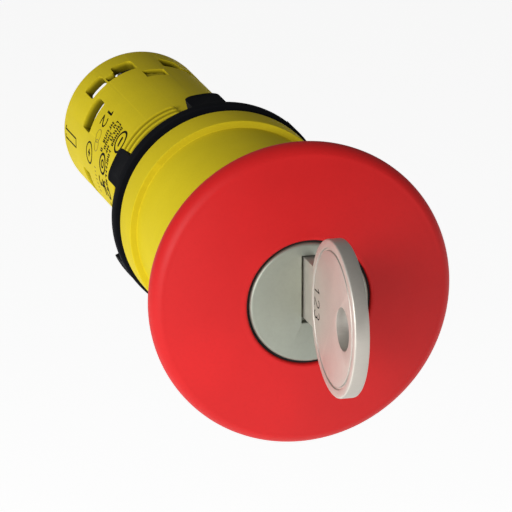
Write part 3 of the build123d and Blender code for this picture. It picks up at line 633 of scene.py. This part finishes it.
def head_piece():
    """Mushroom head: shallow dome, rounded rim, conical underside and neck."""
    groove = NECK_RADIUS - NECK_GROOVE_DEPTH
    groove_front, groove_rear = NECK_GROOVE
    underside = mm([(15.6, -33.75), (13.4, -32.7), (12.4, -32.1), (11.8, -31.65), (11.5, -31.2)])
    neck = [
        (NECK_RADIUS, groove_front - 0.05 * MM), (groove, groove_front),
        (groove, groove_rear), (NECK_RADIUS, groove_rear + 0.05 * MM),
        (NECK_RADIUS, NECK_END - 0.2 * MM), (NECK_RADIUS - 0.2 * MM, NECK_END),
        (NECK_BORE + 0.15 * MM, NECK_END), (NECK_BORE, NECK_END - 0.15 * MM),
        (NECK_BORE, NECK_BORE_FRONT), (HEAD_HOLE, NECK_BORE_FRONT),
    ]
    return lathe("head_cap", head_front() + underside + neck, 256)


def face_seal():
    """Rubber ring round the lock's face."""
    bore = CAP_RADIUS + CAP_GAP
    outline = rounded([
        (bore, SEAL_LOW.y, 0.1 * MM), (HEAD_HOLE, SEAL_LOW.y, 0.1 * MM),
        (HEAD_HOLE, SEAL_HIGH.y, 0), (bore, SEAL_HIGH.y, 0),
    ], 3)
    return lathe("lock_face_seal", outline)


place(head_piece(), "head", "head_red", RED, ["mushroom_head"])
place(face_seal(), "head", "rubber_black", RUBBER, ["lock_seal_ring"])


# ---- lock core and key ----

def lock_core_piece():
    """Turning core with its satin cap, stepped keyway and wafer slots."""
    tail, groove = 6.6 * MM, 6.0 * MM
    clip_front, clip_rear = CLIP_GROOVE
    outline = rounded([
        (0, PLUG_LOW.y, 0), (CAP_RADIUS, PLUG_LOW.y, 0.4 * MM), (CAP_RADIUS, PLUG_SHOULDER, 0.1 * MM),
        (PLUG_RADIUS, PLUG_SHOULDER, 0), (PLUG_RADIUS, clip_front, 0.1 * MM),
        (groove, clip_front, 0), (groove, clip_rear, 0),
        (tail, clip_rear, 0.1 * MM), (tail, PLUG_HIGH.y, 0.1 * MM), (0, PLUG_HIGH.y, 0),
    ], 5)
    core = lathe("lock_core", outline, 160)
    before, mouth_depth = PLUG_LOW.y - MM, PLUG_LOW.y + 1.2 * MM
    socket = (-1.5 * MM, 1.5 * MM)
    tools = [
        block("keyway", (-0.85 * MM, 0.85 * MM), (before, KEYWAY_REAR), (-2.2 * MM, 4.8 * MM)),
        block("keyway_mouth", (-1.05 * MM, 1.05 * MM), (before, mouth_depth), (-2.7 * MM, 6.3 * MM)),
        block("socket", socket, (KEYWAY_REAR + 0.1 * MM, PLUG_HIGH.y + MM), socket),
    ]
    slack = 0.08 * MM
    for n in range(1, 6):
        low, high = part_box(f"wafer_{n}")
        tools.append(block(
            "wafer_slot", (-2.7 * MM, 2.7 * MM), (low.y - slack, high.y + slack), (-8 * MM, 8 * MM)
        ))
    return bevel(boolean(core, tools), 0.06 * MM)


def across(piece, middle):
    """Turns a piece made about Y so that it lies about a line along X through a point."""
    piece.data.transform(Matrix.Translation(middle) @ Matrix.Rotation(math.radians(-90), 4, "Z"))
    return piece


def bow_piece():
    """Round bow with a shallow ring groove on both faces."""
    inner, outer = BOW_GROOVE
    floor, slope = BOW_HALF - BOW_GROOVE_DEPTH, 0.08 * MM
    half = [
        (0, BOW_HALF, 0), (inner, BOW_HALF, 0.05 * MM), (inner + slope, floor, 0.04 * MM),
        (outer - slope, floor, 0.04 * MM), (outer, BOW_HALF, 0.05 * MM),
        (BOW_RADIUS, BOW_HALF, 0.25 * MM),
    ]
    other = [(radius, -x, corner) for radius, x, corner in reversed(half)]
    return across(lathe("key_bow", rounded(half + other, 3), 160), BOW_CENTRE)


def blade_outline():
    """Side view of the key's root and notched blade, as (y, z) points."""
    tip, root_end, start = KEY_HIGH.y, PLUG_LOW.y + 1.0 * MM, BOW_CENTRE.y + 8 * MM
    points = [
        (start, BLADE_BOTTOM), (tip - BLADE_CHAMFER, BLADE_BOTTOM), (tip, BLADE_BOTTOM + BLADE_CHAMFER),
        (tip, BLADE_TOP - BLADE_CHAMFER), (tip - BLADE_CHAMFER, BLADE_TOP),
    ]
    for n in range(len(KEY_CUTS), 0, -1):
        low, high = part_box(f"wafer_{n}")
        middle, cut = (low.y + high.y) / 2, KEY_CUTS[n - 1] * MM
        points += [
            (middle + KEY_CUT_HALF + cut, BLADE_TOP), (middle + KEY_CUT_HALF, BLADE_TOP - cut),
            (middle - KEY_CUT_HALF, BLADE_TOP - cut), (middle - KEY_CUT_HALF - cut, BLADE_TOP),
        ]
    return points + [(root_end, BLADE_TOP), (root_end, ROOT_TOP), (start, ROOT_TOP)]


def side_prism(name, outline, half):
    """Solid from a closed outline of (y, z) points, as far to each side of the middle plane."""
    stand_up = Matrix(((0, 0, 1, -half), (1, 0, 0, 0), (0, 1, 0, 0), (0, 0, 0, 1)))
    return prism(name, outline, 2 * half, stand_up)


def key_piece():
    """Whole key: bow, root and blade, with the ring hole and the blade's side groove."""
    blade = side_prism("blade", blade_outline(), BLADE_HALF)
    piece = boolean(bow_piece(), [blade], "UNION")
    circle = circle_outline(RING_HOLE.y, RING_HOLE.z, RING_HOLE_RADIUS)
    hole = side_prism("ring_hole", circle, 2 * BOW_HALF)
    groove_y = (PLUG_LOW.y - 4 * MM, KEY_HIGH.y - MM)
    groove = block("groove", (0.3 * MM, 2 * MM), groove_y, (0.4 * MM, 1.6 * MM))
    return bevel(boolean(piece, [hole, groove]), 0.05 * MM)


def key_number():
    """Plain generic number on the bow's left face, read downwards."""
    bm = bmesh.new()
    base, height, middle = 0.004 * MM, 0.012 * MM, BOW_CENTRE.y + 7 * MM

    def spot(u, v, level):
        return (-BOW_HALF - base - level * height, middle - v, BOW_CENTRE.z - u)

    for stroke in figures("123", 2.1 * MM, 0.85):
        ribbon(bm, stroke, 0.17 * MM, spot)
    return mesh_object("key_number", bm)


place(lock_core_piece(), "lock_core", "lock_metal", FACE_METAL, ["lock_plug"])
place(key_piece(), "key", "key_metal", KEY_METAL_PAINTED_RIM_SHADE, ["key"])
place(key_number(), "key", "black_plastic", INK)


# ---- bezel and gasket ----

def bezel_piece():
    """Stepped collar with rounded edges."""
    pocket = 12.55 * MM
    outline = rounded([
        (BEZEL_BORE, BEZEL_LOW.y, 0.3 * MM), (BEZEL_FRONT_RADIUS, BEZEL_LOW.y, 0.8 * MM),
        (BEZEL_FRONT_RADIUS, BEZEL_STEP, 0.12 * MM), (BEZEL_HIGH.x, BEZEL_STEP, 0.12 * MM),
        (BEZEL_HIGH.x, BEZEL_HIGH.y, 0.25 * MM), (pocket, BEZEL_HIGH.y, 0), (pocket, FLANGE_FRONT, 0),
        (BEZEL_BORE, FLANGE_FRONT, 0),
    ], 6)
    return lathe("bezel", outline, 256)


def gasket_piece():
    """Rubber gasket with a rounded lip."""
    bore = 11.13 * MM
    outer = GASKET_HIGH.x
    outline = rounded([
        (bore, GASKET_LOW.y, 0), (outer - 0.2 * MM, GASKET_LOW.y, 0.1 * MM),
        (outer, GASKET_LOW.y + 0.5 * MM, 0.2 * MM), (outer, -0.3 * MM, 0.15 * MM),
        (outer - 0.3 * MM, GASKET_HIGH.y, 0.1 * MM), (bore, GASKET_HIGH.y, 0),
    ], 4)
    return lathe("gasket", outline)


place(bezel_piece(), "housing", "shell_yellow", YELLOW, ["bezel_collar"])
place(gasket_piece(), "housing", "rubber_black", RUBBER, ["panel_gasket"])


# ---- body shell ----

def mirrored(angles):
    """The same pair of angles in all four quadrants."""
    low, high = angles
    return [(low, high), (180 - low, 180 - high), (180 + low, 180 + high), (360 - low, 360 - high)]


def angle_box(name, angles, y, corner, depth):
    """Rounded window or recess between two angles and two distances along the axis."""
    middle = (angles[0] + angles[1]) / 2
    half = math.radians(abs(angles[1] - angles[0]) / 2) * sum(depth) / 2
    length = y[1] - y[0]
    return wrapped(name, box_outline((-half, half), (-length, 0), corner), middle, y[0], *depth)


def step_window(angles):
    """Window like an L: longer towards the top or bottom of the shell."""
    half = math.radians(abs(angles[1] - angles[0]) / 2) * sum(THROUGH) / 2
    side = 1 if angles[1] > angles[0] else -1
    share = (STEP_WINDOW[1] - STEP_WINDOW_TURN) / (STEP_WINDOW[1] - STEP_WINDOW[0])
    turn = side * half * (1 - 2 * share)
    front, step, rear = STEP_WINDOW_Y
    outline = rounded([
        (-side * half, 0, 0.25 * MM), (side * half, 0, 0.25 * MM), (side * half, front - rear, 0.7 * MM),
        (turn, front - rear, 0.7 * MM), (turn, front - step, 0.3 * MM),
        (-side * half, front - step, 0.25 * MM),
    ], 5)
    return wrapped("window", outline, sum(angles) / 2, front, *THROUGH)


def shell_cutters():
    """Everything that is cut out of the shell's wall."""
    cutters = []
    for window, y in ((SIDE_WINDOW, SIDE_WINDOW_Y), (REAR_WINDOW, REAR_WINDOW_Y)):
        for angles in mirrored(window):
            cutters.append(angle_box("window", angles, y, 0.45 * MM, THROUGH))
    for angles in mirrored(STEP_WINDOW):
        cutters.append(step_window(angles))
    recess = (SHELL_RADIUS - RECESS_DEPTH, THROUGH[1])
    for middle in RECESS_ANGLES:
        angles = (middle - RECESS_HALF_ANGLE, middle + RECESS_HALF_ANGLE)
        cutters.append(angle_box("recess", angles, RECESS_Y, 0.12 * MM, recess))
    return cutters


def knub_pieces():
    """Small raised snap features on the floor of each recess."""
    depth = (SHELL_RADIUS - 0.9 * MM, SHELL_RADIUS - 0.32 * MM)
    knubs = []
    for middle in RECESS_ANGLES:
        for shift, half, y in ((-4.6, 2.4, (32.3, 33.7)), (4.2, 2.6, (32.2, 33.5)), (0, 1.9, (31.9, 33.2))):
            span = (middle + shift - half, middle + shift + half)
            knubs.append(angle_box("knub", span, mm([y])[0], 0.1 * MM, depth))
    return knubs


def ridge(centre, place, base, tip, half_angle):
    """One sector of a right-handed thread, its height run out at both ends."""
    bm = bmesh.new()
    foot, crest, run_out, least = 0.5 * MM, 0.175 * MM, 5, 0.06
    rows = []
    for angle in range(-half_angle, half_angle + 1, 2):
        fade = min(1.0, (half_angle - abs(angle)) / run_out)
        top = base + (tip - base) * (least + (1 - least) * math.sin(fade * math.pi / 2))
        y = place - PITCH * angle / 360
        rows.append([
            bm.verts.new(on_cylinder(centre + angle, y + offset, radius))
            for radius, offset in ((base, -foot), (top, -crest), (top, crest), (base, foot))
        ])
    for near, far in zip(rows, rows[1:]):
        for n in range(4):
            bm.faces.new((near[n], near[(n + 1) % 4], far[(n + 1) % 4], far[n]))
    bm.faces.new(rows[0])
    bm.faces.new(rows[-1])
    return mesh_object("ridge", bm)


def shell_piece():
    """Yellow tube with its flange, windows, recesses and thread."""
    flange = SHELL_HIGH.x
    seat = BEZEL_HIGH.y
    outline = rounded([
        (SHELL_BORE, FLANGE_FRONT, 0), (flange, FLANGE_FRONT, 0), (flange, seat, 0),
        (SHELL_RADIUS, seat, 0), (SHELL_RADIUS, SHELL_HIGH.y, 0.4 * MM),
        (SHELL_BORE, SHELL_HIGH.y, 0.15 * MM),
    ], 5)
    shell = lathe("shell", outline, 240)
    boolean(shell, shell_cutters())
    boolean(shell, knub_pieces(), "UNION")
    bevel(shell, 0.07 * MM, angle=30)
    ridges = []
    base = SHELL_RADIUS - THREAD_ROOTED
    for n in range(THREAD_TURNS):
        start = THREAD_END - (n + 1) * PITCH
        for centre, shift in ((0, 0), (180, PITCH / 2)):
            ridges.append(ridge(centre, start + shift, base, THREAD_CREST, THREAD_HALF_ANGLE))
    return boolean(shell, ridges, "UNION")


place(shell_piece(), "housing", "shell_yellow", SHELL_YELLOW_PAINTED_SHADE, ["body_shell"])


# ---- nut ----

def nut_lobe(angle, outer):
    """Grip lobe from the band to the nut's rear, its rear corners rounded."""
    half = math.radians(LOBE_HALF_ANGLE) * outer
    length = NUT_HIGH.y - NUT_BAND + 0.6 * MM
    outline = rounded([
        (-half, 0, 0), (half, 0, 0), (half, -length, LOBE_CORNER), (-half, -length, LOBE_CORNER),
    ], 9)
    return wrapped("lobe", outline, angle, NUT_HIGH.y - length, NUT_COLLAR - 0.3 * MM, outer)


def nut_piece():
    """Nut with six rounded grip lobes on a plain band."""
    outer, rear = NUT_HIGH.x, NUT_HIGH.y
    outline = rounded([
        (NUT_BORE, WASHER_ROOM_DEPTH, 0), (WASHER_ROOM, WASHER_ROOM_DEPTH, 0), (WASHER_ROOM, NUT_LOW.y, 0),
        (outer, NUT_LOW.y, 0.3 * MM), (outer, NUT_BAND, 0.3 * MM), (NUT_COLLAR, NUT_BAND, 0.2 * MM),
        (NUT_COLLAR, rear, 0.25 * MM), (NUT_BORE, rear, 0.2 * MM),
    ], 5)
    nut = lathe("nut", outline, 240)
    lobes = [nut_lobe(LOBE_FIRST_ANGLE + n * 360 / LOBES, outer) for n in range(LOBES)]
    boolean(nut, lobes, "UNION")
    bevel(nut, 0.22 * MM, 3, 50)
    ridges = []
    base = NUT_BORE + THREAD_ROOTED
    first = THREAD_END - THREAD_TURNS * PITCH - PITCH / 2
    for start in (first, first + PITCH):
        for centre, shift in ((0, 0), (180, PITCH / 2)):
            ridges.append(ridge(centre, start + shift, base, NUT_THREAD_TIP, NUT_THREAD_HALF_ANGLE))
    return boolean(nut, ridges, "UNION")


place(nut_piece(), "nut", "black_plastic", BLACK, ["fixing_nut"])


# ---- prints on the shell: plain generic marks ----

# centres of the three ring marks, as (angle in degrees, y in millimetres)
FRONT_RING = (150.3, 18.6)
MIDDLE_RING = (175.3, 23.1)
REAR_RING = (177.3, 30.1)


def print_piece(name, marks):
    """Thin ink strips on the shell from (strokes, angle, y, width) marks."""
    bm = bmesh.new()
    sunk = 0.02 * MM
    for strokes, angle, y, width in marks:
        def spot(u, v, level, angle=angle, y=y):
            radius = SHELL_RADIUS - sunk + level * (PRINT_HEIGHT + sunk)
            return on_cylinder(angle + math.degrees(u / SHELL_RADIUS), y - v, radius)

        for stroke in strokes:
            ribbon(bm, fine(stroke, 0.3 * MM), width, spot)
    return mesh_object(name, bm)


def small_rows():
    """Rows of upright strokes and bars, like lettering too small to read, clear of the ring marks."""
    chance = random.Random(7)
    rows = ((20.9, 142, 192), (22.1, 141, 190), (23.3, 141, 185), (24.5, 144, 176))
    rings = ((*FRONT_RING, 2.1), (*MIDDLE_RING, 1.95))
    stroke, gap, half = 0.16 * MM, 0.3 * MM, 0.4 * MM
    marks = []
    for y, start, end in rows:
        angle = start
        while angle < end:
            width = chance.uniform(0.22, 0.42) * MM
            strokes = [[(0, -half), (0, half)]]
            if chance.random() < 0.6:
                strokes.append([(width, -half), (width, half)])
            level = chance.choice((-0.36, 0, 0.36)) * MM
            strokes.append([(0, level), (width, level)])
            near = min(
                math.hypot(math.radians(angle - ring) * SHELL_RADIUS / MM, y - place) - reach
                for ring, place, reach in rings
            )
            if near > 0 and chance.random() < 0.9:
                marks.append((strokes, angle, y * MM, stroke))
            angle += math.degrees((width + gap) / SHELL_RADIUS)
    return marks


def ring_mark(radius):
    """Ring as one closed stroke."""
    return arc_points((0, 0), radius, 0, 360, 40)


def round_marks():
    """Plain rings with a bar, a smaller ring or a cross inside."""
    bar = [[(-0.7 * MM, 0), (0.7 * MM, 0)]]
    cross = [[(-0.5 * MM, 0), (0.5 * MM, 0)], [(0, -0.45 * MM), (0, 0.45 * MM)]]
    marks = []
    for (angle, y), strokes, width in (
        (FRONT_RING, [ring_mark(1.5 * MM)], 0.32),
        (FRONT_RING, bar, 0.5),
        (MIDDLE_RING, [ring_mark(1.35 * MM)], 0.34),
        (MIDDLE_RING, [ring_mark(0.5 * MM)], 0.26),
        (REAR_RING, [ring_mark(1.45 * MM)], 0.24),
        (REAR_RING, cross, 0.3),
    ):
        marks.append((strokes, angle, y * MM, width * MM))
    return marks


def bold_marks():
    """Terminal numbers, a larger number below and a contact symbol."""
    length, half, tick = 5.6 * MM, 0.62 * MM, 0.5 * MM
    symbol = [
        (-half - tick, -length + 0.4 * MM), (-half, -length), (-half, 0), (half, 0), (half, -length),
        (half - tick, -length + 0.2 * MM),
    ]
    return [
        (figures("1", 1.9 * MM, 1.0), 140.5, 27.7 * MM, 0.3 * MM),
        (figures("2", 2.1 * MM, 1.1), 148.2, 27.8 * MM, 0.24 * MM),
        (figures("23", 2.6 * MM, 1.3), 203, 21.6 * MM, 0.34 * MM),
        (figures("3", 1.9 * MM, 1.2), 191, 24.2 * MM, 0.3 * MM),
        ([symbol], 181.0, 37.2 * MM, 0.2 * MM),
    ]


def faint_marks():
    """Two worn rings and a worn row of strokes."""
    marks = [
        ([ring_mark(0.9 * MM)], 160, 27.4 * MM, 0.1 * MM),
        ([ring_mark(0.8 * MM)], 167, 27.2 * MM, 0.1 * MM),
    ]
    upright = [[(0, -0.3 * MM), (0, 0.3 * MM)]]
    for n in range(7):
        marks.append((upright, 184 + 3.2 * n, 27 * MM, 0.12 * MM))
    return marks


for name, marks in (
    ("print_small_rows", small_rows()), ("print_round_marks", round_marks()), ("print_figures", bold_marks()),
):
    place(print_piece(name, marks), "housing", "black_plastic", INK)
place(print_piece("print_worn_marks", faint_marks()), "housing", "black_plastic", PALE_INK)


# ---- springs ----

def coil_piece(name, radius, wire, front, rear, turns):
    """Round-wire compression spring about the button axis, with closed end turns."""
    bm = bmesh.new()
    sides, steps, closed = 12, 36, 0.75
    rows = []
    for step in range(int((turns + 2 * closed) * steps) + 1):
        turn = step / steps
        inside = min(max(turn - closed, 0) / turns, 1)
        y = front + wire + (rear - front - 2 * wire) * inside
        row = []
        for side in range(sides):
            roll = 2 * math.pi * side / sides
            spot = on_cylinder(-360 * turn, y + wire * math.sin(roll), radius + wire * math.cos(roll))
            row.append(bm.verts.new(spot))
        rows.append(row)
    for near, far in zip(rows, rows[1:]):
        for n in range(sides):
            bm.faces.new((near[n], near[(n + 1) % sides], far[(n + 1) % sides], far[n]))
    bm.faces.new(rows[0])
    bm.faces.new(rows[-1])
    return mesh_object(name, bm, 60)


def return_spring_piece():
    """Spring that pushes the head out again."""
    low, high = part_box("return_spring")
    wire = 0.35 * MM
    piece = coil_piece("return_coil", high.x - wire, wire, low.y, high.y, 3)
    place(piece, "housing", "steel", SPRING_STEEL, ["return_spring"])
    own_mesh(piece)


return_spring_piece()


# ---- CAD nodes that keep their shape ----

def dress(node, material, rounding):
    """Finish for a CAD node, with its sharp edges broken by a rounding in millimetres."""
    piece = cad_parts[node]
    piece.data.materials.clear()
    piece.data.materials.append(material)
    if rounding:
        step = piece.modifiers.new("edges", "BEVEL")
        step.width = rounding * MM
        step.segments = 2
        step.limit_method = "ANGLE"
        step.angle_limit = math.radians(45)


# material and rounding of each node, in millimetres
DRESSED = {
    "head_seal": (RUBBER, 0), "lock_barrel": (BARREL_METAL, 0.05), "push_stem": (WHITE, 0.06),
    "stem_pins": (STEEL, 0.05), "plug_clip": (SPRING_STEEL, 0.04), "release_shaft": (STEEL, 0.05),
    "release_cam": (STEEL, 0.06), "wafer_springs": (SPRING_STEEL, 0), "front_bushing": (INNER_BLACK, 0.06),
    "latch_housing": (INNER_BLACK, 0.06), "latch_spring": (SPRING_STEEL, 0),
    "lock_washer": (STEEL, 0.04), "contact_block": (INNER_BLACK, 0.1), "contact_carrier": (WHITE, 0.08),
    "contact_bridge_left": (BRASS, 0.05), "contact_bridge_right": (BRASS, 0.05),
    "contact_spring_left": (SPRING_STEEL, 0), "contact_spring_right": (SPRING_STEEL, 0),
}
for node, (material, rounding) in DRESSED.items():
    dress(node, material, rounding)
for n in range(1, 6):
    dress(f"wafer_{n}", BRASS, 0.04)
for n in range(1, 5):
    dress(f"terminal_plate_{n}", BRASS, 0.06)
    dress(f"clamp_washer_{n}", STEEL, 0.05)
    dress(f"terminal_screw_{n}", STEEL, 0.04)


# ---- floor, light and camera ----

FLOOR_GLOW = 0.7
SKY_GLOW = 0.19
KEY_POWER = 7.4
FILL_POWER = 0.4
FLOOR_LEVEL = -0.16
FLOOR_REACH = 4
LENS = 563
EYE_OFFSET = Vector((-0.26972, -0.94173, 0.30332))  # from the middle of the head's edge
EYE_RIGHT = Vector((0.9629, -0.2700, 0))
EYE_LOOK = Vector((0.2581, 0.9208, -0.2914))


def stage_set():
    """Wide pale floor well below the object."""
    bm = bmesh.new()
    corners = box_outline((-FLOOR_REACH, FLOOR_REACH), (-FLOOR_REACH, FLOOR_REACH))
    bm.faces.new([bm.verts.new((x, y, FLOOR_LEVEL)) for x, y in corners])
    floor = mesh_object("floor", bm, 80)
    nodes = Nodes("pale_floor")
    tint = nodes.ramp(nodes.noise(3, 2), [(0.3, grey(0.86)), (0.7, grey(0.9))])
    nodes.link(tint, nodes.shader.inputs["Base Color"])
    nodes.set(Roughness=0.9, Emission_Color=(1, 1, 1, 1), Emission_Strength=FLOOR_GLOW)
    floor.data.materials.append(nodes.material)


def area_light(name, spot, size, power):
    """Soft square light aimed at the origin."""
    data = bpy.data.lights.new(name, "AREA")
    data.size = size
    data.energy = power
    lamp = bpy.data.objects.new(name, data)
    bpy.context.scene.collection.objects.link(lamp)
    lamp.location = spot
    lamp.rotation_euler = (-Vector(spot)).to_track_quat("-Z", "Y").to_euler()


def camera():
    """Long lens looking along the button from the front, above and to the left."""
    data = bpy.data.cameras.new("camera")
    data.sensor_width = 36
    data.lens = LENS
    data.clip_end = 20
    eye = bpy.data.objects.new("camera", data)
    bpy.context.scene.collection.objects.link(eye)
    look = EYE_LOOK.normalized()
    up = EYE_RIGHT.normalized().cross(look).normalized()
    turn = Matrix((look.cross(up), up, -look)).transposed().to_4x4()
    eye.matrix_world = Matrix.Translation(Vector((0, HEAD_EDGE, 0)) + EYE_OFFSET) @ turn
    bpy.context.scene.camera = eye


stage_set()
area_light("key_light", (-0.75, -0.58, 0.26), 0.42, KEY_POWER)
area_light("fill_light", (0.58, -0.68, 0.06), 0.35, FILL_POWER)
world = bpy.data.worlds.new("studio")
world.use_nodes = True
world.node_tree.nodes["Background"].inputs["Color"].default_value = (1, 1, 1, 1)
world.node_tree.nodes["Background"].inputs["Strength"].default_value = SKY_GLOW
bpy.context.scene.world = world
bpy.context.scene.view_settings.view_transform = "Standard"
camera()
